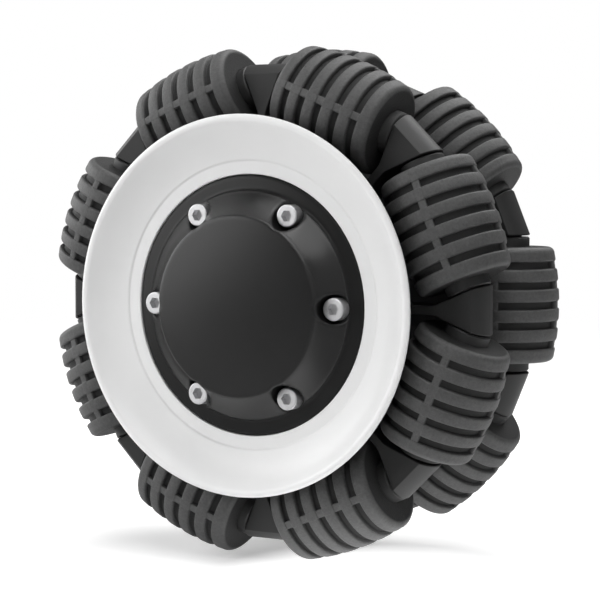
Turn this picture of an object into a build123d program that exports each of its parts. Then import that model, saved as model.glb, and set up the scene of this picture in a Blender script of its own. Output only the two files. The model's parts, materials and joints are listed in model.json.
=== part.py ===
from build123d import *
import os
from math import cos, radians, sin, sqrt, tan

# Double-row omnidirectional wheel.  Millimetres.  The wheel axis is Y, the origin is the wheel
# centre, midway between the two roller rows, -Y is the capped outer face and +Z is up.
# Each row has barrel rollers whose axes lie along the rim, and the rear row is turned by half a
# roller pitch, so that one of the sixteen rollers is always on the ground.

# ---- driving dimensions ---------------------------------------------------------------------
WHEEL_R = 100.0            # radius of the circle that every roller crown touches
ROLLERS_PER_ROW = 8
ROW_OFFSET = 21.0          # from the wheel's mid-plane to each row's plane
ROLLER_AXIS_R = 80.0       # radius of the circle that the roller axes touch
TREAD_HALF = 22.0          # half length of a rubber tread
DRUM_R = 56.0              # outside of the hub drum
RING_R = 72.2              # outside of the two dished ring covers
CAP_R = 49.6               # outside of the hub cap and of the drive flange
BORE_R = 6.0               # drive shaft bore

PITCH = 360 / ROLLERS_PER_ROW
HALF_PITCH = PITCH / 2

# ---- rollers --------------------------------------------------------------------------------
SHOULDER_R = 2.6           # rounding at the ends of a tread
GROOVE_PITCH = 7.6
GROOVE_COUNT = 5
GROOVE_WIDTH = 2.8
GROOVE_DEPTH = 2.1
RIB_COUNT = 4              # lengthwise ribs that bridge the grooves of a tread
RIB_WIDTH = 3.2
RIB_DROP = 0.3             # a rib's top lies this far under the barrel surface
RIB_PHASE = 9.0            # first rib, in degrees from the capped side towards the ground
CORE_R = 12.0              # body of the core, wholly inside the rubber
CORE_BODY_HALF = 19.3
NECK_R = 8.5               # neck that stands out of each end of the rubber
CORE_HALF = 25.8           # from the roller's middle to the end of a neck
CORE_BORE_R = 3.2
CORE_CHAMFER = 0.5
PIN_R = 2.5
PIN_HALF = 31.4
PIN_CHAMFER = 0.4
RUNNING_GAP = 0.05         # radial clearance between a bush and its pin
BUSH_R = 4.0
BUSH_LENGTH = 10.0
BUSH_FLANGE_R = 5.5
BUSH_FLANGE = 0.8
BUSH_SEAT = 25.4           # from the roller's middle to the seat of a bush flange in the neck

# ---- arms that carry the pins ---------------------------------------------------------------
ARM_SIDE = 26.3            # from a roller's middle to the arm face beside it
ARM_HALF_THICK = 8.5       # half the axial thickness
ARM_CREASE_R = 88.0        # radius of the crease where an arm's flat faces end
ARM_TIP_R = 92.0           # radius of the arm's bowed end face at its middle
ARM_EDGE = 0.5             # rounding along the arm's edges
WEB_HALF = 1.7             # half thickness of the web between an arm and the drum
WEB_FILLET = 9.0
WEB_ROOT_R = 53.0

# ---- hub ------------------------------------------------------------------------------------
DRUM_WALL = 6.0
SEAT_Y = 34.3              # where the ring covers sit on the spiders
PLATE_THICK = 5.0
CARRIER_WEB_HALF = 4.0
HUB_BOSS_R = 13.0
HUB_BOSS_GAP = 0.1
PILOT_R = 17.0             # spigot that centres the wheel on a drive flange
FLANGE_Y = 43.0            # outer face of the drive flange
HUB_FACE_Y = 46.0          # outer face of the pilot
FLANGE_CHAMFER = 0.6
KEY_WIDTH = 4.0
KEY_DEPTH = 1.8
DRIVE_PCD_R = 24.0
DRIVE_HOLES = 4
DRIVE_HOLE_R = 2.75

# ---- dished ring covers and the spider flanges behind them -----------------------------------
LIP_Y = 36.5               # face of a ring cover's clamped lip
LIP_R = 46.2               # inner edge of the lip
SPIGOT_R = 45.9            # register of the cap and of the drive flange inside the lip
COVER_RECESS_R = 49.8      # recess round the cap's rim
BAND_Y = 38.95             # flat band round the recess
BAND_R = 54.8
BAND_STEP = 0.5            # radial width of the step between the band and the dish
DISH_FLOOR_R = 53.0        # the dish is an arc whose lowest point would be at this radius
DISH_FLOOR_Y = 39.3
DISH_CURVE_R = 21.0
DISH_R = 69.4              # where the dish meets the rolled rim
RIM_TOP_R = 71.3
RIM_TOP_Y = 47.5
RIM_SIDE_Y = 46.8
RIM_BACK_Y = 46.0
FOOT_SLANT = 1.8           # how far a foot or flange root leans inward down to the seat
COVER_WALL = 2.4
COVER_FOOT_R = 55.6
FLANGE_FRONT = 3.0         # depth of the spider flange's faces under the cover's face
FLANGE_BACK = 5.2
FLANGE_ROOT_R = 57.2

# ---- hub cap --------------------------------------------------------------------------------
CAP_FACE_Y = 49.0
CAP_DISC_R = 34.6
DISC_ROUND = 0.8
SLOPE_Y = 40.4             # foot of the slope between the flange and the disc
SLOPE_FOOT_R = 43.2
SLOPE_SAG = 0.5            # how far the slope is hollowed
CAP_STEP_R = 43.8
CAP_FLANGE_Y = 38.8
CAP_CHAMFER = 0.6
CAP_WALL = 2.5
POCKET_R = 5.5

# ---- fasteners ------------------------------------------------------------------------------
SCREW_R = 2.5              # M5
SCREW_HEAD_R = 4.25
SCREW_HEAD = 5.0
SCREW_CLEAR_R = 2.75
HEAD_CLEAR_R = 4.5
SOCKET_ACROSS = 4.0
SOCKET_DEPTH = 3.0
HEAD_ROUND = 0.5
SCREW_CHAMFER = 0.6
CAP_SCREWS = 6
CAP_SCREW_AT = 39.4
CAP_SCREW_HEAD_Y = 44.3    # outer face of the heads
CAP_SCREW_LENGTH = 16.0
INSERT_R = 3.5
INSERT_LENGTH = 10.0
INSERT_BOSS_R = 6.5
CLAMP_BOLTS = 6
CLAMP_BOLT_AT = 43.0
CLAMP_BOLT_PHASE = 30.0
CLAMP_BOLT_LENGTH = 70.0
CLAMP_HEAD_Y = 33.8
CLAMP_BOSS_R = 7.5

os.makedirs("parts", exist_ok=True)


# ---- helpers --------------------------------------------------------------------------------
def turned(face):
    """The solid swept by a face in the X-Y plane (x = radius, y = axial) about the wheel axis."""
    return revolve(face, Axis.Y, 360)


def axial_cylinder(radius, y_from, y_to, at=0.0, angle=0.0):
    """A cylinder along the wheel axis, its centre line at radius `at` and at `angle` degrees."""
    length = abs(y_to - y_from)
    middle = (y_from + y_to) / 2
    place = Pos(at * cos(radians(angle)), middle, at * sin(radians(angle))) * Rot(90, 0, 0)
    return place * Cylinder(radius, length)


def spin(shape, angle):
    """The shape turned about the wheel axis, from +X towards +Z."""
    return Rot(0, -angle, 0) * shape


def fuse_all(first, others):
    result = first
    for other in others:
        result = result + other
    return result


def cut_all(first, others):
    result = first
    for other in others:
        result = result - other
    return result


def roller_place(angle, row_y):
    """Where a roller modelled along local Z sits: local +X is +Y and local +Y is outward."""
    outward = Vector(cos(radians(angle)), 0, sin(radians(angle)))
    side = Vector(0, 1, 0)
    origin = outward * ROLLER_AXIS_R + Vector(0, row_y, 0)
    return Plane(origin=origin, x_dir=side, z_dir=side.cross(outward)).location


def one_solid(shape):
    solids = shape.solids()
    if len(solids) != 1:
        raise ValueError("expected one solid, got %d" % len(solids))
    return solids[0]


def save(node, solids):
    """One STEP file for a node; a list becomes a group of separate solids."""
    if isinstance(solids, list):
        shape = Compound(children=[one_solid(item) for item in solids])
    else:
        shape = one_solid(solids)
    export_step(shape, os.path.join("parts", node + ".step"))


# ---- rollers, modelled along local Z and centred on the origin ------------------------------
def crown(z, drop=0.0):
    """Radius of the barrel at z: its side follows the wheel's own circle."""
    return sqrt(WHEEL_R ** 2 - z ** 2) - ROLLER_AXIS_R - drop


def barrel_face(drop=0.0):
    """Half section of the barrel, with rounded shoulders."""
    top = (crown(TREAD_HALF, drop), TREAD_HALF)
    bottom = (crown(TREAD_HALF, drop), -TREAD_HALF)
    middle = (crown(0, drop), 0)
    outline = Line((NECK_R, -TREAD_HALF), bottom)
    outline += ThreePointArc(bottom, middle, top)
    outline += Line(top, (NECK_R, TREAD_HALF))
    outline += Line((NECK_R, TREAD_HALF), (NECK_R, -TREAD_HALF))
    face = make_face(Plane.XZ * outline)
    corners = face.vertices().filter_by(lambda v: v.X > NECK_R + 1)
    return fillet(corners, SHOULDER_R)


def tread():
    """Rubber barrel moulded round the core: five grooves, each bridged by four ribs."""
    barrel = revolve(barrel_face(), Axis.Z, 360)
    grooves = []
    for step in range(GROOVE_COUNT):
        z = (step - (GROOVE_COUNT - 1) / 2) * GROOVE_PITCH
        floor = crown(z) - GROOVE_DEPTH
        ring = Cylinder(2 * floor, GROOVE_WIDTH) - Cylinder(floor, GROOVE_WIDTH)
        grooves.append(Pos(0, 0, z) * ring)
    grooved = cut_all(barrel, grooves)
    outer_skin = revolve(barrel_face(RIB_DROP), Axis.Z, 360)
    outer_skin -= Cylinder(crown(TREAD_HALF) - GROOVE_DEPTH, 2 * TREAD_HALF)
    reach = (GROOVE_COUNT - 1) * GROOVE_PITCH + 2 * GROOVE_WIDTH
    for step in range(RIB_COUNT):
        angle = 180 - RIB_PHASE + step * 360 / RIB_COUNT
        bar = Rot(0, 0, angle) * Pos(crown(0), 0, 0) * Box(crown(0), RIB_WIDTH, reach)
        grooved += outer_skin & bar
    return grooved - Cylinder(CORE_R, 2 * CORE_BODY_HALF)


def core():
    """Moulded core: a body inside the rubber, a neck and a bush seat at each end."""
    body = Cylinder(CORE_R, 2 * CORE_BODY_HALF) + Cylinder(NECK_R, 2 * CORE_HALF)
    ends = body.edges().filter_by(GeomType.CIRCLE).filter_by(
        lambda edge: abs(edge.center().Z) > CORE_HALF - CORE_CHAMFER)
    body = chamfer(ends, CORE_CHAMFER)
    body -= Cylinder(CORE_BORE_R, 2 * CORE_HALF)
    for side in (-1, 1):
        body -= Pos(0, 0, side * (BUSH_SEAT - BUSH_LENGTH / 2)) * Cylinder(BUSH_R, BUSH_LENGTH)
        body -= Pos(0, 0, side * (BUSH_SEAT + BUSH_FLANGE / 2)) * Cylinder(BUSH_FLANGE_R, BUSH_FLANGE)
    return body


def bush(side):
    """Flanged plain bush that runs on the pin; side is -1 or 1."""
    tube_middle = BUSH_SEAT - BUSH_LENGTH / 2
    flange_middle = BUSH_SEAT + BUSH_FLANGE / 2
    body = Pos(0, 0, side * tube_middle) * Cylinder(BUSH_R, BUSH_LENGTH)
    body += Pos(0, 0, side * flange_middle) * Cylinder(BUSH_FLANGE_R, BUSH_FLANGE)
    return body - Cylinder(PIN_R + RUNNING_GAP, 4 * CORE_HALF)


def axle_pin():
    body = Cylinder(PIN_R, 2 * PIN_HALF)
    return chamfer(body.edges().filter_by(GeomType.CIRCLE), PIN_CHAMFER)


# ---- arms -----------------------------------------------------------------------------------
def arm_plan():
    """Outline of an arm and its web seen along the wheel axis; the arm points along +X."""
    slope = tan(radians(HALF_PITCH))
    offset = ARM_SIDE / cos(radians(HALF_PITCH))
    far_r = ARM_TIP_R + 1
    far_half = slope * far_r - offset
    neck_r = (WEB_HALF + offset) / slope
    upper = [(WEB_ROOT_R, WEB_HALF), (neck_r, WEB_HALF), (far_r, far_half)]
    lower = [(r, -half) for r, half in reversed(upper)]
    face = make_face(Polyline(*upper, *lower, close=True))
    necks = face.vertices().filter_by(lambda v: abs(v.X - neck_r) < 0.1)
    return fillet(necks, WEB_FILLET)


def arm_side_view():
    """Outline of an arm seen from the side: flat faces and a bowed end with a crease each side."""
    outline = Polyline((ARM_CREASE_R, -ARM_HALF_THICK), (WEB_ROOT_R, -ARM_HALF_THICK),
                       (WEB_ROOT_R, ARM_HALF_THICK), (ARM_CREASE_R, ARM_HALF_THICK))
    outline += ThreePointArc((ARM_CREASE_R, ARM_HALF_THICK), (ARM_TIP_R, 0),
                             (ARM_CREASE_R, -ARM_HALF_THICK))
    return make_face(outline)


def arm():
    """One whole arm of a row that lies in the plane y = 0, with the pin seats of both sides."""
    body = Rot(90, 0, 0) * extrude(arm_plan(), ARM_HALF_THICK, both=True)
    body = body & extrude(arm_side_view(), 2 * ARM_HALF_THICK, both=True)
    outer_edges = body.edges().filter_by(lambda edge: edge.center().X > WEB_ROOT_R + 1)
    body = fillet(outer_edges, ARM_EDGE)
    for side in (-1, 1):
        turn = radians(HALF_PITCH)
        middle = Vector(cos(turn), 0, side * sin(turn)) * ROLLER_AXIS_R
        towards = Vector(sin(turn), 0, -side * cos(turn))
        seat_plane = Plane(origin=middle + towards * (ARM_SIDE - 1), z_dir=towards)
        body -= extrude(seat_plane * Circle(PIN_R), PIN_HALF - ARM_SIDE + 1)
    return body


def half_arms(whole_arm, row_y, keep, first_angle):
    """The eight arms of a row, each cut at the row's plane; keep is -1 for the -Y half."""
    block = Pos(WHEEL_R / 2, keep * WHEEL_R / 2, 0) * Box(WHEEL_R, WHEEL_R, WHEEL_R)
    half = whole_arm & block
    placed = Pos(0, row_y, 0) * half
    return [spin(placed, first_angle + step * PITCH) for step in range(ROLLERS_PER_ROW)]


# ---- ring covers ----------------------------------------------------------------------------
def dish_point(side, radius, depth):
    """A point of the dish's section, `depth` under the cover's face; side is -1 outside."""
    rise = DISH_CURVE_R - sqrt(DISH_CURVE_R ** 2 - (radius - DISH_FLOOR_R) ** 2)
    return (radius, side * (DISH_FLOOR_Y + rise - depth))


def dish_arc(side, radius_from, radius_to, depth):
    middle = (radius_from + radius_to) / 2
    return ThreePointArc(*[dish_point(side, r, depth) for r in (radius_from, middle, radius_to)])


def ring_cover(side):
    """Dished ring cover; side is -1 for the outer face, 1 for the inner face."""
    dish_start = BAND_R + BAND_STEP
    front = Polyline((LIP_R, side * LIP_Y), (COVER_RECESS_R, side * LIP_Y),
                     (COVER_RECESS_R, side * BAND_Y), (BAND_R, side * BAND_Y),
                     dish_point(side, dish_start, 0))
    dish = dish_arc(side, dish_start, DISH_R, 0)
    rim = ThreePointArc(dish_point(side, DISH_R, 0), (RIM_TOP_R, side * RIM_TOP_Y),
                        (RING_R, side * RIM_SIDE_Y))
    edge = Polyline((RING_R, side * RIM_SIDE_Y), (RING_R, side * RIM_BACK_Y),
                    dish_point(side, DISH_R, COVER_WALL))
    back = dish_arc(side, DISH_R, COVER_FOOT_R, COVER_WALL)
    foot = Polyline(dish_point(side, COVER_FOOT_R, COVER_WALL),
                    (COVER_FOOT_R - FOOT_SLANT, side * SEAT_Y), (LIP_R, side * SEAT_Y),
                    (LIP_R, side * LIP_Y))
    return turned(make_face(front + dish + rim + edge + back + foot))


# ---- spiders and carrier --------------------------------------------------------------------
def clamp_angles():
    return [CLAMP_BOLT_PHASE + step * 360 / CLAMP_BOLTS for step in range(CLAMP_BOLTS)]


def cap_screw_angles():
    return [step * 360 / CAP_SCREWS for step in range(CAP_SCREWS)]


def spider_body(side):
    """Half of the drum, its end plate and the dished flange behind the ring cover."""
    plate_back = SEAT_Y - PLATE_THICK
    drum_inside = DRUM_R - DRUM_WALL
    plate_hole = HUB_BOSS_R + HUB_BOSS_GAP
    drum = Polyline((DRUM_R, side * ROW_OFFSET), (DRUM_R, side * (SEAT_Y - FOOT_SLANT)),
                    dish_point(side, FLANGE_ROOT_R, FLANGE_BACK))
    back = dish_arc(side, FLANGE_ROOT_R, DISH_R, FLANGE_BACK)
    edge = Line(dish_point(side, DISH_R, FLANGE_BACK), dish_point(side, DISH_R - 1, FLANGE_FRONT))
    front = dish_arc(side, DISH_R - 1, FLANGE_ROOT_R, FLANGE_FRONT)
    inside = Polyline(dish_point(side, FLANGE_ROOT_R, FLANGE_FRONT),
                      (FLANGE_ROOT_R - FOOT_SLANT, side * SEAT_Y), (plate_hole, side * SEAT_Y),
                      (plate_hole, side * plate_back), (drum_inside, side * plate_back),
                      (drum_inside, side * ROW_OFFSET), (DRUM_R, side * ROW_OFFSET))
    return turned(make_face(drum + back + edge + front + inside))


def spider(side, whole_arm):
    """Moulded spider: its body, its arm halves and the bosses that the clamp bolts pass."""
    first_angle = 0.0 if side < 0 else HALF_PITCH
    body = fuse_all(spider_body(side), half_arms(whole_arm, side * ROW_OFFSET, side, first_angle))
    for angle in clamp_angles():
        body += axial_cylinder(CLAMP_BOSS_R, side * ROW_OFFSET, side * (SEAT_Y - 1),
                               CLAMP_BOLT_AT, angle)
    for angle in clamp_angles():
        body -= axial_cylinder(SCREW_CLEAR_R, 0, side * WHEEL_R, CLAMP_BOLT_AT, angle)
    return body


def front_spider(whole_arm):
    """Outer spider, with bosses for the cap's threaded inserts and recesses for bolt heads."""
    body = spider(-1, whole_arm)
    insert_bottom = INSERT_LENGTH - SEAT_Y
    head_bottom = SCREW_HEAD - CLAMP_HEAD_Y
    for angle in cap_screw_angles():
        body += axial_cylinder(INSERT_BOSS_R, -ROW_OFFSET, 1 - SEAT_Y, CAP_SCREW_AT, angle)
    for angle in cap_screw_angles():
        body -= axial_cylinder(INSERT_R, -SEAT_Y - 1, insert_bottom, CAP_SCREW_AT, angle)
        body -= axial_cylinder(SCREW_CLEAR_R, -SEAT_Y, 1 - ROW_OFFSET, CAP_SCREW_AT, angle)
    for angle in clamp_angles():
        body -= axial_cylinder(HEAD_CLEAR_R, -SEAT_Y - 1, head_bottom, CLAMP_BOLT_AT, angle)
    return body


def centre_carrier(whole_arm):
    """Middle of the hub: it closes the inner halves of both rows' arms over the pins."""
    hole = HUB_BOSS_R + HUB_BOSS_GAP
    inside = DRUM_R - DRUM_WALL
    half = [(hole, CARRIER_WEB_HALF), (inside, CARRIER_WEB_HALF), (inside, ROW_OFFSET),
            (DRUM_R, ROW_OFFSET)]
    mirrored = [(r, -y) for r, y in reversed(half)]
    body = turned(make_face(Polyline(*half, *mirrored, close=True)))
    body = fuse_all(body, half_arms(whole_arm, -ROW_OFFSET, 1, 0.0))
    body = fuse_all(body, half_arms(whole_arm, ROW_OFFSET, -1, HALF_PITCH))
    for angle in clamp_angles():
        body += axial_cylinder(CLAMP_BOSS_R, -ROW_OFFSET, ROW_OFFSET, CLAMP_BOLT_AT, angle)
    for angle in clamp_angles():
        body -= axial_cylinder(SCREW_CLEAR_R, -WHEEL_R, WHEEL_R, CLAMP_BOLT_AT, angle)
    return body


# ---- drive hub and cap ----------------------------------------------------------------------
def drive_hub():
    """Metal hub: a long keyed boss and the flange that the clamp bolts screw into."""
    profile = [(0, -SEAT_Y), (HUB_BOSS_R, -SEAT_Y), (HUB_BOSS_R, SEAT_Y), (SPIGOT_R, SEAT_Y),
               (SPIGOT_R, LIP_Y), (CAP_R, LIP_Y), (CAP_R, FLANGE_Y), (PILOT_R, FLANGE_Y),
               (PILOT_R, HUB_FACE_Y), (0, HUB_FACE_Y)]
    body = turned(make_face(Polyline(*profile, close=True)))
    rims = body.edges().filter_by(GeomType.CIRCLE)
    flange_rim = rims.filter_by(lambda e: e.radius > CAP_R - 1 and e.center().Y > FLANGE_Y - 1)
    pilot_rim = rims.filter_by(lambda e: e.center().Y > HUB_FACE_Y - 1)
    body = chamfer(flange_rim + pilot_rim, FLANGE_CHAMFER)
    body -= axial_cylinder(BORE_R, -WHEEL_R, WHEEL_R)
    body -= Pos(0, 0, BORE_R) * Box(KEY_WIDTH, 3 * WHEEL_R, 2 * KEY_DEPTH)
    for angle in clamp_angles():
        body -= axial_cylinder(SCREW_R, SEAT_Y - 1, FLANGE_Y - 1, CLAMP_BOLT_AT, angle)
    for step in range(DRIVE_HOLES):
        angle = (step + 0.5) * 360 / DRIVE_HOLES
        body -= axial_cylinder(DRIVE_HOLE_R, SEAT_Y - 1, FLANGE_Y + 1, DRIVE_PCD_R, angle)
    return body


def slope_middle():
    """Middle of the cap's slope, moved square to the slope by its sag."""
    run = SLOPE_FOOT_R - CAP_DISC_R
    rise = CAP_FACE_Y - DISC_ROUND - SLOPE_Y
    length = sqrt(run ** 2 + rise ** 2)
    middle_r = CAP_DISC_R + run / 2 - SLOPE_SAG * rise / length
    middle_y = SLOPE_Y + rise / 2 - SLOPE_SAG * run / length
    return (middle_r, -middle_y)


def cap_outer_solid():
    """Everything behind the cap's outer surface, down to its seat on the spider."""
    bevel = CAP_STEP_R - SLOPE_FOOT_R
    flange = Polyline((0, -SEAT_Y), (SPIGOT_R, -SEAT_Y), (SPIGOT_R, -LIP_Y), (CAP_R, -LIP_Y),
                      (CAP_R, -(CAP_FLANGE_Y - CAP_CHAMFER)), (CAP_R - CAP_CHAMFER, -CAP_FLANGE_Y),
                      (CAP_STEP_R, -CAP_FLANGE_Y), (CAP_STEP_R, -(SLOPE_Y - bevel)),
                      (SLOPE_FOOT_R, -SLOPE_Y))
    slope_top = (CAP_DISC_R, -(CAP_FACE_Y - DISC_ROUND))
    disc_edge = (CAP_DISC_R - DISC_ROUND, -CAP_FACE_Y)
    slope = ThreePointArc((SLOPE_FOOT_R, -SLOPE_Y), slope_middle(), slope_top)
    round_middle = DISC_ROUND * (1 - cos(radians(45)))
    edge = ThreePointArc(slope_top, (CAP_DISC_R - round_middle, -(CAP_FACE_Y - round_middle)),
                         disc_edge)
    face = Polyline(disc_edge, (0, -CAP_FACE_Y), (0, -SEAT_Y))
    return turned(make_face(flange + slope + edge + face))


def hub_cap():
    """Domed cap: a thin shell with six pocketed bosses for its screws."""
    whole = cap_outer_solid()
    skirt_inside = CAP_STEP_R - CAP_WALL
    disc_inside = CAP_DISC_R - CAP_WALL
    hollow = [(0, 1 - SEAT_Y), (skirt_inside, 1 - SEAT_Y), (skirt_inside, -SLOPE_Y + CAP_WALL),
              (disc_inside, CAP_WALL - CAP_FACE_Y), (0, CAP_WALL - CAP_FACE_Y)]
    shell = whole - turned(make_face(Polyline(*hollow, close=True)))
    head_bottom = SCREW_HEAD - CAP_SCREW_HEAD_Y
    for angle in cap_screw_angles():
        boss = axial_cylinder(CLAMP_BOSS_R, -CAP_FACE_Y, -SEAT_Y, CAP_SCREW_AT, angle)
        shell += boss & whole
    for angle in cap_screw_angles():
        shell -= axial_cylinder(POCKET_R, -CAP_FACE_Y - 1, head_bottom, CAP_SCREW_AT, angle)
        shell -= axial_cylinder(SCREW_CLEAR_R, -CAP_FACE_Y, 0, CAP_SCREW_AT, angle)
    return shell


# ---- fasteners ------------------------------------------------------------------------------
def socket_screw(length):
    """Socket-head screw: the head's outer face is at y = 0 and the shank runs towards +Y."""
    head = axial_cylinder(SCREW_HEAD_R, 0, SCREW_HEAD)
    outer_rim = head.edges().filter_by(GeomType.CIRCLE).sort_by(Axis.Y)[0]
    head = fillet(outer_rim, HEAD_ROUND)
    hexagon = RegularPolygon(SOCKET_ACROSS / 2, 6, major_radius=False)
    socket = extrude(Plane.XZ * hexagon, -SOCKET_DEPTH)
    shank = axial_cylinder(SCREW_R, SCREW_HEAD, SCREW_HEAD + length)
    tip = shank.edges().filter_by(GeomType.CIRCLE).sort_by(Axis.Y)[-1]
    return head - socket + chamfer(tip, SCREW_CHAMFER)


def on_circle(shape, radius, angles, y=0.0):
    """Copies of a shape at the given angles of a circle about the wheel axis, not turned."""
    return [Pos(radius * cos(radians(a)), y, radius * sin(radians(a))) * shape for a in angles]


def insert():
    """Brass threaded insert pressed into the outer spider for a cap screw."""
    body = axial_cylinder(INSERT_R, -SEAT_Y, INSERT_LENGTH - SEAT_Y)
    return body - axial_cylinder(SCREW_R, -WHEEL_R, 0)


# ---- the wheel ------------------------------------------------------------------------------
def save_row(row, row_y, first_angle):
    """The eight rollers of a row, and their pins as one node."""
    tread_shape = tread()
    core_shape = core()
    pin_shape = axle_pin()
    pins = []
    for step in range(ROLLERS_PER_ROW):
        place = roller_place(first_angle + step * PITCH, row_y)
        number = "%s_%d" % (row, step + 1)
        save("tread_" + number, place * tread_shape)
        save("core_" + number, place * core_shape)
        save("bushes_" + number, [place * bush(-1), place * bush(1)])
        pins.append(place * pin_shape)
    save(row + "_axle_pins", pins)


def main():
    whole_arm = arm()
    save("front_spider", front_spider(whole_arm))
    save("rear_spider", spider(1, whole_arm))
    save("centre_carrier", centre_carrier(whole_arm))
    save("front_ring_cover", ring_cover(-1))
    save("rear_ring_cover", ring_cover(1))
    save("hub_cap", hub_cap())
    save("drive_hub", drive_hub())
    cap_screw = socket_screw(CAP_SCREW_LENGTH)
    clamp_bolt = socket_screw(CLAMP_BOLT_LENGTH)
    save("cap_screws", on_circle(cap_screw, CAP_SCREW_AT, cap_screw_angles(), -CAP_SCREW_HEAD_Y))
    save("clamp_bolts", on_circle(clamp_bolt, CLAMP_BOLT_AT, clamp_angles(), -CLAMP_HEAD_Y))
    save("cap_thread_inserts", on_circle(insert(), CAP_SCREW_AT, cap_screw_angles()))
    save_row("front", -ROW_OFFSET, HALF_PITCH)
    save_row("rear", ROW_OFFSET, 0.0)


main()
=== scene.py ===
"""Looks for a double-row omnidirectional wheel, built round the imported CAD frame.

The wheel axis is Y, -Y is the capped outer face and +Z is up. Geometry and bump depths are in metres.
Material patterns are placed in millimetres, so noise scales are in features per millimetre.
"""
import json
import math

import bpy
from mathutils import Matrix, Vector


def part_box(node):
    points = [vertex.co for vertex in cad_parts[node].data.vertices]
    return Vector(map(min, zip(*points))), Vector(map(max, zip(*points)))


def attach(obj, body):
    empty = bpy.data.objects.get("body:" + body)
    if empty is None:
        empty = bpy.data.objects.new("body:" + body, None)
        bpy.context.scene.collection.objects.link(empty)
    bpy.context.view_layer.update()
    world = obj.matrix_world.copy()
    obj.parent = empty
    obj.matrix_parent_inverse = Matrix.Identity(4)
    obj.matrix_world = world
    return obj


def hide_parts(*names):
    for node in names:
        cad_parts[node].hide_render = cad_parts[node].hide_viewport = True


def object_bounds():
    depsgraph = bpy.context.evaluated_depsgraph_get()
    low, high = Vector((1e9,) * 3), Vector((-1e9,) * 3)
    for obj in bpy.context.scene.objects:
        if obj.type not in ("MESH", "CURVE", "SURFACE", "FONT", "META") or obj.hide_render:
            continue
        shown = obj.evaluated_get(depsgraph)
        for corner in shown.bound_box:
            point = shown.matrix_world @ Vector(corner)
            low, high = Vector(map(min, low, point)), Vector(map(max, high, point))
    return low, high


MM = 0.001

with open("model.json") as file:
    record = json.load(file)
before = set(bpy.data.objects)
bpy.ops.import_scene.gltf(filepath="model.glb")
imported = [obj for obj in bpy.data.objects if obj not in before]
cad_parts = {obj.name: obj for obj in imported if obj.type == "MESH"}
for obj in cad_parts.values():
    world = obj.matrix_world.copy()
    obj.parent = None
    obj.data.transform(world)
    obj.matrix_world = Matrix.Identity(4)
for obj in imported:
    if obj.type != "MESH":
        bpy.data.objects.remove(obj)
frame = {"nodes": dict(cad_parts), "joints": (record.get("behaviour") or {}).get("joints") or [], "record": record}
cad_low, cad_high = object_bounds()
joints = frame["joints"]

# ---- sizes read from the frame --------------------------------------------------------------
WHEEL_R = max(abs(cad_low.z), abs(cad_high.z))
FIRST_PIN = joints[0]["pos_m"]
ROLLER_AXIS_R = math.hypot(FIRST_PIN[0], FIRST_PIN[2])
UPRIGHT_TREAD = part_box("tread_rear_1")   # this roller's pin runs along Z, with its middle at Z = 0
TREAD_HALF = UPRIGHT_TREAD[1].z

# ---- tread pattern --------------------------------------------------------------------------
NECK_R = 8.5 * MM                        # bore of the rubber, which sits on the core's neck
GROOVE_COUNT = 5
GROOVE_PITCH = 7.6 * MM
GROOVE_WIDTH = 2.8 * MM
GROOVE_DEPTH = 2.1 * MM
RIB_COUNT = 4
RIB_WIDTH = 3.2 * MM
RIB_DROP = 0.3 * MM                      # a rib's top lies this far under the barrel surface
RIB_PHASE = math.radians(9)
EDGE_ROUND = 0.8 * MM                    # rounding at the top of a groove's wall
FLOOR_ROUND = 0.45 * MM                  # rounding at the foot of a groove's wall
ROUND_ANGLES = (0, 30, 60, 90)           # the places, in degrees, that draw each of these roundings
SHOULDER_R = 2.6 * MM
SHOULDER_FROM = TREAD_HALF - SHOULDER_R  # distance along the tread where its shoulder starts
SHOULDER_STEPS = 7
SLOT_STEPS = 16                          # faces round the barrel between two ribs
NECK_EDGE = 0.4 * MM                     # support loops, which keep the end face flat
END_EDGE = 0.3 * MM

# ---- tones and sheen ------------------------------------------------------------------------
# Tones are linear reflectance. Sheen is the shader's specular level, where 0.5 is ordinary.
TONE_FROM = 0.3                          # share of a slow noise where a tone starts to change
TONE_TO = 0.7
SLOW_NOISE = 0.05
BEVEL_SAMPLES = 8

RUBBER_LOW = 0.046
RUBBER_HIGH = 0.07
RUBBER_ROUGH = (0.5, 0.72)
RUBBER_SHEEN = 0.72
# painted shade: deep in the grooves the rubber gets a darker tone and less sheen than on the lands
GROOVE_SHADE_GREY = 0.03
GROOVE_SHADE_SHEEN = 0.25
GROOVE_SHADE_FROM = 0.9                   # depth under the barrel, in millimetres, where the painted groove shade starts
GROOVE_SHADE_TO = 2.0
SPECKLE_SHARE = 1.0                      # weight of the fine speckle against the slower mottle
PIT_DEPTH = 0.16 * MM
RUBBER_GRAIN_DEPTH = 0.05 * MM

RING_GREY = 0.84
RING_DIP = 0.98                          # the ring's darkest tone as a share of its lightest
RING_ROUGH = (0.28, 0.36)
RING_EDGE_ROUND = 0.9 * MM
GLOSS_GRAIN_DEPTH = 0.006 * MM

CAP_GREY = 0.012
CAP_TONE_SPREAD = 0.1
CAP_ROUGH = 0.26
FLANGE_ROUGH = 0.3
CAP_ROUGH_SPREAD = 0.03
CAP_SHEEN = 0.5
FLANGE_SHEEN = 0.27
CAP_DISC_EDGE = 34.0                     # radius of the disc, in millimetres
CAP_STEP_EDGE = 43.8                     # radius where the flange starts, in millimetres
CAP_STEP_WIDTH = 0.6
DISC_CROWN = 1.0                         # apparent rise of the disc's middle, in millimetres
CAP_EDGE_ROUND = 2.2 * MM

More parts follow.
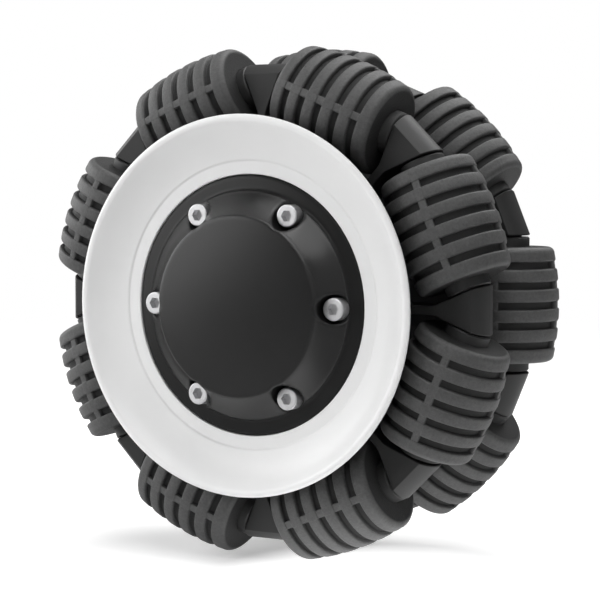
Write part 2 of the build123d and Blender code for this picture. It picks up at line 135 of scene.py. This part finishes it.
PLASTICS = {
    "core_plastic": dict(tones=(0.024, 0.034), rough=(0.42, 0.6), grain=3.0, depth=0.02 * MM),
    "bush_plastic": dict(tones=(0.03, 0.04), rough=(0.35, 0.5), grain=3.0, depth=0.01 * MM),
    "spider_plastic": dict(tones=(0.014, 0.02), rough=(0.42, 0.6), grain=2.5, depth=0.02 * MM),
    "rear_cover_plastic": dict(tones=(0.045, 0.06), rough=(0.4, 0.55), grain=2.5, depth=0.02 * MM),
}
METALS = {
    "hub_metal": dict(colour=(0.68, 0.69, 0.71), rough=(0.28, 0.42), grain=2.0, depth=0.005 * MM),
    "screw_steel": dict(colour=(0.84, 0.84, 0.85), rough=(0.42, 0.55), grain=3.0, depth=0.004 * MM),
    "pin_steel": dict(colour=(0.62, 0.62, 0.64), rough=(0.2, 0.3), grain=4.0, depth=0.004 * MM),
    "insert_brass": dict(colour=(0.75, 0.58, 0.28), rough=(0.25, 0.4), grain=3.0, depth=0.004 * MM),
}
METAL_DIP = 0.88                         # a metal's darkest tone as a share of its lightest

# ---- stage ----------------------------------------------------------------------------------
CAMERA_AZIMUTH = 30
CAMERA_ELEVATION = 3.5
CAMERA_DISTANCE = 7.65 * WHEEL_R
WHEEL_SHARE = 0.84                       # the wheel's height as a share of the picture
SENSOR = 36.0
NEAREST_SEEN = 0.01
FARTHEST_SEEN = 50

FLOOR_CLEAR = 0.25                       # radius of the opaque part of the floor
FLOOR_R = 1.4
FLOOR_STEPS = 96
FLOOR_TONES = (0.88, 0.9)
FLOOR_CLOUDS = 0.01
FLOOR_ROUGH = 0.9
REFLECTION_SHADE_GREY = 0.3                          # painted shade: the floor before the wheel, greyer as reflections see it
GLOW_MIDDLE = (45.0, -25.0, cad_low.z / MM)   # middle of the glowing patch of floor under the front row, in millimetres; painted light, no lamp
GLOW_CLEAR = 15.0                        # radius of its fully glowing part
GLOW_R = 80.0
GLOW = 1.3                               # its brightness
SEEN_GLOW = 0.35                         # what the floor adds to its own white in the picture

BACKDROP = 0.1                           # brightness of the surroundings behind the wheel
BACKDROP_RISE = 0.5                      # share of +Y in a direction where it is fully bright
LAMP_DISTANCE = 1.5
LAMPS = {
    "front_left_softbox": dict(azimuth=-50, elevation=18, size=1.3, radiance=2.65),
    "left_softbox": dict(azimuth=-95, elevation=17, size=1.3, radiance=2.8),
    "front_fill": dict(azimuth=12, elevation=10, size=0.8, radiance=0.6),
    "right_fill": dict(azimuth=55, elevation=20, size=1.3, radiance=0.4),
    "overhead_softbox": dict(azimuth=0, elevation=88, size=1.3, radiance=2.0),
    "top_right_softbox": dict(azimuth=40, elevation=60, size=1.3, radiance=2.4),
    "back_softbox": dict(azimuth=168, elevation=54, size=1.3, radiance=3.4),
}


# ---- mesh helpers ---------------------------------------------------------------------------
def mesh_object(name, points, faces, smooth=True):
    mesh = bpy.data.meshes.new(name)
    mesh.from_pydata([tuple(point) for point in points], [], faces)
    mesh.validate()
    mesh.polygons.foreach_set("use_smooth", [smooth] * len(mesh.polygons))
    mesh.update()
    obj = bpy.data.objects.new(name, mesh)
    bpy.context.scene.collection.objects.link(obj)
    return obj


def closed_grid_faces(rows, columns):
    """Quads of a grid that wraps round in both directions, which makes a closed skin."""
    faces = []
    for row in range(rows):
        for column in range(columns):
            here = row * columns
            beyond = (row + 1) % rows * columns
            following = (column + 1) % columns
            faces.append((here + column, here + following, beyond + following, beyond + column))
    return faces


# ---- roller treads --------------------------------------------------------------------------
def wall_profile(half_width, depth):
    """Half of a groove's section from its middle outwards: (distance, share of the full depth)."""
    points = [(0.0, 1.0)]
    floor_edge = half_width - FLOOR_ROUND
    for angle in ROUND_ANGLES:
        turn = math.radians(angle)
        sink = depth - FLOOR_ROUND * (1 - math.cos(turn))
        points.append((floor_edge + FLOOR_ROUND * math.sin(turn), sink / depth))
    for angle in ROUND_ANGLES:
        turn = math.radians(angle)
        out = half_width + EDGE_ROUND * (1 - math.cos(turn))
        points.append((out, EDGE_ROUND * (1 - math.sin(turn)) / depth))
    return points


def groove_stations():
    """Places along a tread, from end to end, with the share of groove depth at each."""
    half = wall_profile(GROOVE_WIDTH / 2, GROOVE_DEPTH)
    stations = []
    for number in range(GROOVE_COUNT):
        middle = (number - (GROOVE_COUNT - 1) / 2) * GROOVE_PITCH
        stations += [(middle - out, share) for out, share in reversed(half)]
        stations += [(middle + out, share) for out, share in half[1:]]
        if number < GROOVE_COUNT - 1:
            stations.append((middle + GROOVE_PITCH / 2, 0.0))
    return stations


def rib_stations():
    """Angles round a tread, with the share of groove depth at each: 0 on a rib, 1 in a slot."""
    radius = WHEEL_R - ROLLER_AXIS_R
    half = wall_profile(RIB_WIDTH / 2, GROOVE_DEPTH)
    edge = [(out / radius, 1 - share) for out, share in half]
    stations = []
    for number in range(RIB_COUNT):
        middle = math.pi - RIB_PHASE + number * math.tau / RIB_COUNT
        stations += [(middle - turn, share) for turn, share in reversed(edge)]
        stations += [(middle + turn, share) for turn, share in edge[1:]]
        last = middle + edge[-1][0]
        following = middle + math.tau / RIB_COUNT - edge[-1][0]
        for step in range(1, SLOT_STEPS):
            stations.append((last + (following - last) * step / SLOT_STEPS, 1.0))
    return stations


def crown(z):
    """Radius of the barrel surface at a distance z along the tread from its middle."""
    return math.sqrt(WHEEL_R ** 2 - z ** 2) - ROLLER_AXIS_R


def shoulder(sign):
    """Rows round one shoulder, from the barrel surface to the end face."""
    points = []
    for step in range(SHOULDER_STEPS + 1):
        turn = math.pi / 2 * step / SHOULDER_STEPS
        z = SHOULDER_FROM + SHOULDER_R * math.sin(turn)
        radius = crown(SHOULDER_FROM) - SHOULDER_R * (1 - math.cos(turn))
        points.append((sign * z, radius, 0.0))
    return points


def end_rows(sign, last_groove):
    """Rows of one end of a tread, from the land outside its last groove to the bore."""
    end_land = (SHOULDER_FROM + last_groove) / 2
    end_face_r = crown(SHOULDER_FROM) - SHOULDER_R
    rows = [(sign * end_land, crown(end_land), 0.0)]
    rows += shoulder(sign)
    for radius in (end_face_r - END_EDGE, (NECK_R + end_face_r) / 2, NECK_R + NECK_EDGE, NECK_R):
        rows.append((sign * TREAD_HALF, radius, 0.0))
    return rows


def tread_rows():
    """Rows of a tread's skin, bore end to bore end, as (z, radius, share of groove depth)."""
    grooves = groove_stations()
    last_groove = -grooves[0][0]
    rows = list(reversed(end_rows(-1, last_groove)))
    rows += [(z, crown(z), share) for z, share in grooves]
    rows += end_rows(1, last_groove)
    return rows


def tread_mesh():
    """One grooved rubber barrel about local Z, with ribs across its grooves."""
    rows = tread_rows()
    columns = rib_stations()
    points = []
    for z, radius, groove_share in rows:
        for angle, slot_share in columns:
            sink = RIB_DROP * groove_share
            sink += (GROOVE_DEPTH - RIB_DROP) * min(groove_share, slot_share)
            r = radius - sink
            points.append((r * math.cos(angle), r * math.sin(angle), z))
    faces = closed_grid_faces(len(rows), len(columns))
    return mesh_object("tread_pattern", points, faces)


def roller_matrix(joint):
    """Local +Z along the roller's pin, local +X along +Y and local +Y outward."""
    origin = Vector(joint["pos_m"])
    outward = Vector((origin.x, 0, origin.z)).normalized()
    side = Vector((0, 1, 0))
    along = side.cross(outward)
    matrix = Matrix((side, outward, along)).transposed().to_4x4()
    matrix.translation = origin
    return matrix


# ---- material helpers -----------------------------------------------------------------------
def new_material(name):
    material = bpy.data.materials.new(name)
    material.use_nodes = True
    tree = material.node_tree
    return material, tree, tree.nodes["Principled BSDF"]


def add(tree, kind, **inputs):
    """A node with its inputs set by name; an underscore stands for a space."""
    node = tree.nodes.new(kind)
    for key, value in inputs.items():
        node.inputs[key.replace("_", " ")].default_value = value
    return node


def millimetre_coordinates(tree):
    """The object's own coordinates, in millimetres."""
    coordinates = tree.nodes.new("ShaderNodeTexCoord")
    scale = tree.nodes.new("ShaderNodeVectorMath")
    scale.operation = "SCALE"
    scale.inputs["Scale"].default_value = 1 / MM
    tree.links.new(coordinates.outputs["Object"], scale.inputs[0])
    return scale.outputs[0]


def noise(tree, place, scale, detail=4.0, roughness=0.5):
    node = add(tree, "ShaderNodeTexNoise", Scale=scale, Detail=detail, Roughness=roughness)
    tree.links.new(place, node.inputs["Vector"])
    return node.outputs["Fac"]


def ramp(tree, factor, low, high, low_at=TONE_FROM, high_at=TONE_TO):
    """Colour that goes from low to high as the factor goes from low_at to high_at."""
    node = tree.nodes.new("ShaderNodeValToRGB")
    node.color_ramp.elements[0].position = low_at
    node.color_ramp.elements[0].color = (*low, 1)
    node.color_ramp.elements[1].position = high_at
    node.color_ramp.elements[1].color = (*high, 1)
    tree.links.new(factor, node.inputs["Fac"])
    return node.outputs["Color"]


def map_range(tree, value, from_low, from_high, to_low, to_high, kind="SMOOTHSTEP"):
    node = add(tree, "ShaderNodeMapRange", From_Min=from_low, From_Max=from_high,
               To_Min=to_low, To_Max=to_high)
    node.interpolation_type = kind
    tree.links.new(value, node.inputs["Value"])
    return node.outputs["Result"]


def spread(tree, share, low, high):
    """A share from 0 to 1 turned evenly into a value from low to high."""
    return map_range(tree, share, 0.0, 1.0, low, high, "LINEAR")


def calculate(tree, operation, *operands):
    """A maths node; each operand is a socket or a number."""
    node = tree.nodes.new("ShaderNodeMath")
    node.operation = operation
    for socket, operand in zip(node.inputs, operands):
        if isinstance(operand, (int, float)):
            socket.default_value = operand
        else:
            tree.links.new(operand, socket)
    return node.outputs["Value"]


def vector_part(tree, place, name):
    """One coordinate of a place: X, Y or Z."""
    split = tree.nodes.new("ShaderNodeSeparateXYZ")
    tree.links.new(place, split.inputs[0])
    return split.outputs[name]


def distance_from_axis(tree, place, axis):
    """Distance of a surface point from the object's own X, Y or Z axis."""
    flat = tree.nodes.new("ShaderNodeVectorMath")
    flat.operation = "MULTIPLY"
    tree.links.new(place, flat.inputs[0])
    flat.inputs[1].default_value = [0.0 if name == axis else 1.0 for name in "XYZ"]
    length = tree.nodes.new("ShaderNodeVectorMath")
    length.operation = "LENGTH"
    tree.links.new(flat.outputs[0], length.inputs[0])
    return length.outputs["Value"]


def distance_from_point(tree, place, point):
    gap = tree.nodes.new("ShaderNodeVectorMath")
    gap.operation = "DISTANCE"
    tree.links.new(place, gap.inputs[0])
    gap.inputs[1].default_value = point
    return gap.outputs["Value"]


def depth_under_crown(tree, place):
    """How far a tread's surface lies under the barrel surface, in millimetres."""
    along = vector_part(tree, place, "Z")
    along_squared = calculate(tree, "MULTIPLY", along, along)
    circle_squared = calculate(tree, "SUBTRACT", (WHEEL_R / MM) ** 2, along_squared)
    barrel = calculate(tree, "SUBTRACT", calculate(tree, "SQRT", circle_squared), ROLLER_AXIS_R / MM)
    return calculate(tree, "SUBTRACT", barrel, distance_from_axis(tree, place, "Z"))


def blend_colour(tree, share, low, high):
    """Mix of two colours, each a socket or a tuple."""
    node = tree.nodes.new("ShaderNodeMix")
    node.data_type = "RGBA"
    tree.links.new(share, node.inputs["Factor"])
    for name, colour in (("A", low), ("B", high)):
        socket = [s for s in node.inputs if s.name == name and s.type == "RGBA"][0]
        if isinstance(colour, tuple):
            socket.default_value = (*colour, 1)
        else:
            tree.links.new(colour, socket)
    return [s for s in node.outputs if s.type == "RGBA"][0]


def bump(tree, height, distance, normal=None):
    node = add(tree, "ShaderNodeBump", Strength=1.0, Distance=distance)
    tree.links.new(height, node.inputs["Height"])
    if normal is not None:
        tree.links.new(normal, node.inputs["Normal"])
    return node.outputs["Normal"]


def soft_edges(tree, radius):
    """A normal that rounds sharp edges off."""
    node = add(tree, "ShaderNodeBevel", Radius=radius)
    node.samples = BEVEL_SAMPLES
    return node.outputs["Normal"]


def grey(level):
    return (level, level, level)


# ---- materials ------------------------------------------------------------------------------
def moulded_plastic(name, tones, rough, grain, depth):
    """Moulded plastic: a slow tone change, a fine spark-eroded grain and uneven sheen."""
    material, tree, shader = new_material(name)
    place = millimetre_coordinates(tree)
    slow = noise(tree, place, SLOW_NOISE, detail=3.0)
    fine = noise(tree, place, grain, detail=3.0, roughness=0.6)
    tree.links.new(ramp(tree, slow, grey(tones[0]), grey(tones[1])), shader.inputs["Base Color"])
    tree.links.new(spread(tree, fine, *rough), shader.inputs["Roughness"])
    tree.links.new(bump(tree, fine, depth), shader.inputs["Normal"])
    return material


def metal_material(name, colour, rough, grain, depth):
    """Machined or plated metal with a fine grain and faint tone changes."""
    material, tree, shader = new_material(name)
    place = millimetre_coordinates(tree)
    fine = noise(tree, place, grain, detail=5.0, roughness=0.6)
    slow = noise(tree, place, scale=0.4, detail=2.0)
    dark = tuple(channel * METAL_DIP for channel in colour)
    tree.links.new(ramp(tree, slow, dark, colour), shader.inputs["Base Color"])
    shader.inputs["Metallic"].default_value = 1.0
    tree.links.new(spread(tree, fine, *rough), shader.inputs["Roughness"])
    tree.links.new(bump(tree, fine, depth), shader.inputs["Normal"])
    return material


def rubber_material():
    """Moulded rubber: matt and speckled, with a fine pitted grain, and painted shade that makes it darker and
    duller deep in the grooves.
    """
    material, tree, shader = new_material("roller_rubber")
    place = millimetre_coordinates(tree)
    mottle = noise(tree, place, scale=0.35, detail=6.0, roughness=0.65)
    speckle = noise(tree, place, scale=1.1, detail=2.0, roughness=0.6)
    grain = noise(tree, place, scale=4.5, detail=4.0, roughness=0.7)
    tone = calculate(tree, "MULTIPLY_ADD", speckle, SPECKLE_SHARE, mottle)
    tone = calculate(tree, "SUBTRACT", tone, SPECKLE_SHARE / 2)
    lands = ramp(tree, tone, grey(RUBBER_LOW), grey(RUBBER_HIGH), low_at=0.25, high_at=0.77)
    depth = depth_under_crown(tree, place)
    # painted shade: the rubber darkens deep in the grooves
    painted_groove_shade = map_range(tree, depth, GROOVE_SHADE_FROM, GROOVE_SHADE_TO, 0.0, 1.0)
    tree.links.new(blend_colour(tree, painted_groove_shade, lands, grey(GROOVE_SHADE_GREY)), shader.inputs["Base Color"])
    tree.links.new(spread(tree, grain, *RUBBER_ROUGH), shader.inputs["Roughness"])
    pits = bump(tree, speckle, PIT_DEPTH)
    tree.links.new(bump(tree, grain, RUBBER_GRAIN_DEPTH, normal=pits), shader.inputs["Normal"])
    # painted shade: the rubber's sheen drops deep in the grooves
    sheen = map_range(tree, depth, GROOVE_SHADE_FROM, GROOVE_SHADE_TO, RUBBER_SHEEN, GROOVE_SHADE_SHEEN)
    tree.links.new(sheen, shader.inputs["Specular IOR Level"])
    return material


def ring_material():
    """Glossy white moulding with its step and edges softened."""
    material, tree, shader = new_material("ring_plastic")
    place = millimetre_coordinates(tree)
    slow = noise(tree, place, SLOW_NOISE, detail=3.0)
    fine = noise(tree, place, scale=1.2, detail=3.0, roughness=0.6)
    tones = ramp(tree, slow, grey(RING_GREY * RING_DIP), grey(RING_GREY))
    tree.links.new(tones, shader.inputs["Base Color"])
    tree.links.new(spread(tree, fine, *RING_ROUGH), shader.inputs["Roughness"])
    softened = soft_edges(tree, RING_EDGE_ROUND)
    tree.links.new(bump(tree, fine, GLOSS_GRAIN_DEPTH, normal=softened), shader.inputs["Normal"])
    return material


def cap_material():
    """Hub cap: satin disc with a faint crown, and a duller flange, told apart by radius."""
    material, tree, shader = new_material("cap_plastic")
    place = millimetre_coordinates(tree)
    fine = noise(tree, place, scale=2.5, detail=3.0, roughness=0.6)
    slow = noise(tree, place, SLOW_NOISE, detail=3.0)
    radius = distance_from_axis(tree, place, "Y")
    on_flange = map_range(tree, radius, CAP_STEP_EDGE - CAP_STEP_WIDTH, CAP_STEP_EDGE, 0.0, 1.0)
    dark = grey(CAP_GREY * (1 - CAP_TONE_SPREAD))
    light = grey(CAP_GREY * (1 + CAP_TONE_SPREAD))
    tree.links.new(ramp(tree, slow, dark, light), shader.inputs["Base Color"])
    rough = spread(tree, on_flange, CAP_ROUGH, FLANGE_ROUGH)
    uneven = spread(tree, fine, -CAP_ROUGH_SPREAD, CAP_ROUGH_SPREAD)
    tree.links.new(calculate(tree, "ADD", rough, uneven), shader.inputs["Roughness"])
    tree.links.new(spread(tree, on_flange, CAP_SHEEN, FLANGE_SHEEN), shader.inputs["Specular IOR Level"])
    radius_squared = calculate(tree, "MULTIPLY", radius, radius)
    crowned = calculate(tree, "MULTIPLY", radius_squared, -DISC_CROWN / CAP_DISC_EDGE ** 2)
    crown_normal = bump(tree, crowned, MM, normal=soft_edges(tree, CAP_EDGE_ROUND))
    tree.links.new(bump(tree, fine, GLOSS_GRAIN_DEPTH, normal=crown_normal), shader.inputs["Normal"])
    return material


def all_materials():
    """Every finish, by the name of the record's material slot that it dresses."""
    materials = {
        "roller_rubber": rubber_material(),
        "ring_plastic": ring_material(),
        "cap_plastic": cap_material(),
    }
    for slot, finish in PLASTICS.items():
        materials[slot] = moulded_plastic(slot, **finish)
    for slot, finish in METALS.items():
        materials[slot] = metal_material(slot, **finish)
    return materials


# ---- the wheel ------------------------------------------------------------------------------
def dress(obj, slot, materials):
    obj.data.materials.clear()
    obj.data.materials.append(materials[slot])


def dress_cad_nodes(materials):
    for entry in frame["record"]["subparts"]:
        dress(frame["nodes"][entry["node"]], entry["material_slot"], materials)


def grooved_treads(materials):
    """One mesh with rounded grooves, shown sixteen times in place of the plain-edged CAD treads."""
    pattern = tread_mesh()
    dress(pattern, "roller_rubber", materials)
    for joint in joints:
        number = joint["child"].replace("roller_", "")
        piece = bpy.data.objects.new("grooved_tread_" + number, pattern.data)
        bpy.context.scene.collection.objects.link(piece)
        piece.matrix_world = roller_matrix(joint)
        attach(piece, joint["child"])
        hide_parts("tread_" + number)
    bpy.data.objects.remove(pattern)


# ---- stage ----------------------------------------------------------------------------------
def direction(azimuth, elevation):
    """Unit vector from the wheel; azimuth 0 is straight in front of the cap, + towards +X."""
    turn = math.radians(azimuth)
    rise = math.radians(elevation)
    level = math.cos(rise)
    return Vector((math.sin(turn) * level, -math.cos(turn) * level, math.sin(rise)))


def floor_paint(tree, place, path):
    """Pale, faintly cloudy paint; glossy reflections see the part before the wheel as grey, a painted darker
    reflection.
    """
    clouds = noise(tree, place, FLOOR_CLOUDS, detail=2.0)
    paint = ramp(tree, clouds, grey(FLOOR_TONES[0]), grey(FLOOR_TONES[1]))
    front = cad_low.y / MM
    in_front = map_range(tree, vector_part(tree, place, "Y"), front, 2 * front, 0.0, 1.0)
    # painted shade: reflections of the floor before the wheel turn grey
    painted_reflection_shade = calculate(tree, "MULTIPLY", in_front, path.outputs["Is Glossy Ray"])
    return blend_colour(tree, painted_reflection_shade, paint, grey(REFLECTION_SHADE_GREY))


def floor_light(tree, place, path):
    """Glow of the painted glowing patch, or the lift that makes the floor white to the camera if that's more."""
    from_glow = distance_from_point(tree, place, GLOW_MIDDLE)
    # painted light: the floor glows under the front row and lights the treads from below
    glow = map_range(tree, from_glow, GLOW_CLEAR, GLOW_R, GLOW, 0.0)
    seen = calculate(tree, "MULTIPLY", path.outputs["Is Camera Ray"], SEEN_GLOW)
    return calculate(tree, "MAXIMUM", glow, seen)


def floor_material():
    """Pale floor that fades into the white surroundings, with a glowing patch under the treads, painted light that
    lights them from below.
    """
    material, tree, shader = new_material("studio_floor_paint")
    place = millimetre_coordinates(tree)
    path = tree.nodes.new("ShaderNodeLightPath")
    tree.links.new(floor_paint(tree, place, path), shader.inputs["Base Color"])
    shader.inputs["Roughness"].default_value = FLOOR_ROUGH
    away = distance_from_axis(tree, place, "Z")
    fade = map_range(tree, away, FLOOR_CLEAR / MM, FLOOR_R / MM, 1.0, 0.0)
    tree.links.new(fade, shader.inputs["Alpha"])
    shader.inputs["Emission Color"].default_value = (1, 1, 1, 1)
    tree.links.new(floor_light(tree, place, path), shader.inputs["Emission Strength"])
    return material


def studio_floor():
    """A round pale floor under the wheel."""
    points = [(0.0, 0.0, cad_low.z)]
    for step in range(FLOOR_STEPS):
        turn = math.tau * step / FLOOR_STEPS
        points.append((FLOOR_R * math.cos(turn), FLOOR_R * math.sin(turn), cad_low.z))
    faces = [(0, 1 + step, 1 + (step + 1) % FLOOR_STEPS) for step in range(FLOOR_STEPS)]
    floor = mesh_object("studio_floor", points, faces, smooth=False)
    floor.data.materials.append(floor_material())


def camera():
    data = bpy.data.cameras.new("camera")
    data.sensor_width = SENSOR
    data.lens = SENSOR * WHEEL_SHARE * CAMERA_DISTANCE / (2 * WHEEL_R)
    data.clip_start = NEAREST_SEEN
    data.clip_end = FARTHEST_SEEN
    viewer = bpy.data.objects.new("camera", data)
    out = direction(CAMERA_AZIMUTH, CAMERA_ELEVATION)
    viewer.location = out * CAMERA_DISTANCE
    viewer.rotation_euler = (-out).to_track_quat("-Z", "Y").to_euler()
    bpy.context.scene.collection.objects.link(viewer)
    bpy.context.scene.camera = viewer


def soft_light(name, azimuth, elevation, size, radiance):
    """A round softbox aimed at the wheel, with the given brightness of its surface."""
    data = bpy.data.lights.new(name, "AREA")
    data.shape = "DISK"
    data.size = size
    data.energy = radiance * math.pi * math.pi * (size / 2) ** 2
    lamp = bpy.data.objects.new(name, data)
    lamp.location = LAMP_DISTANCE * direction(azimuth, elevation)
    lamp.rotation_euler = (-lamp.location).to_track_quat("-Z", "Y").to_euler()
    bpy.context.scene.collection.objects.link(lamp)


def surroundings():
    """White as the camera sees it; the wheel itself is lit only by the half behind it."""
    world = bpy.data.worlds.new("studio")
    world.use_nodes = True
    tree = world.node_tree
    background = tree.nodes["Background"]
    background.inputs["Color"].default_value = (1, 1, 1, 1)
    coordinates = tree.nodes.new("ShaderNodeTexCoord")
    backwards = vector_part(tree, coordinates.outputs["Generated"], "Y")
    behind = map_range(tree, backwards, 0.0, BACKDROP_RISE, 0.0, BACKDROP)
    path = tree.nodes.new("ShaderNodeLightPath")
    strength = calculate(tree, "MAXIMUM", behind, path.outputs["Is Camera Ray"])
    tree.links.new(strength, background.inputs["Strength"])
    bpy.context.scene.world = world


finishes = all_materials()
dress_cad_nodes(finishes)
grooved_treads(finishes)

studio_floor()
camera()
for lamp_name, settings in LAMPS.items():
    soft_light(lamp_name, **settings)
surroundings()
bpy.context.scene.view_settings.view_transform = "Standard"
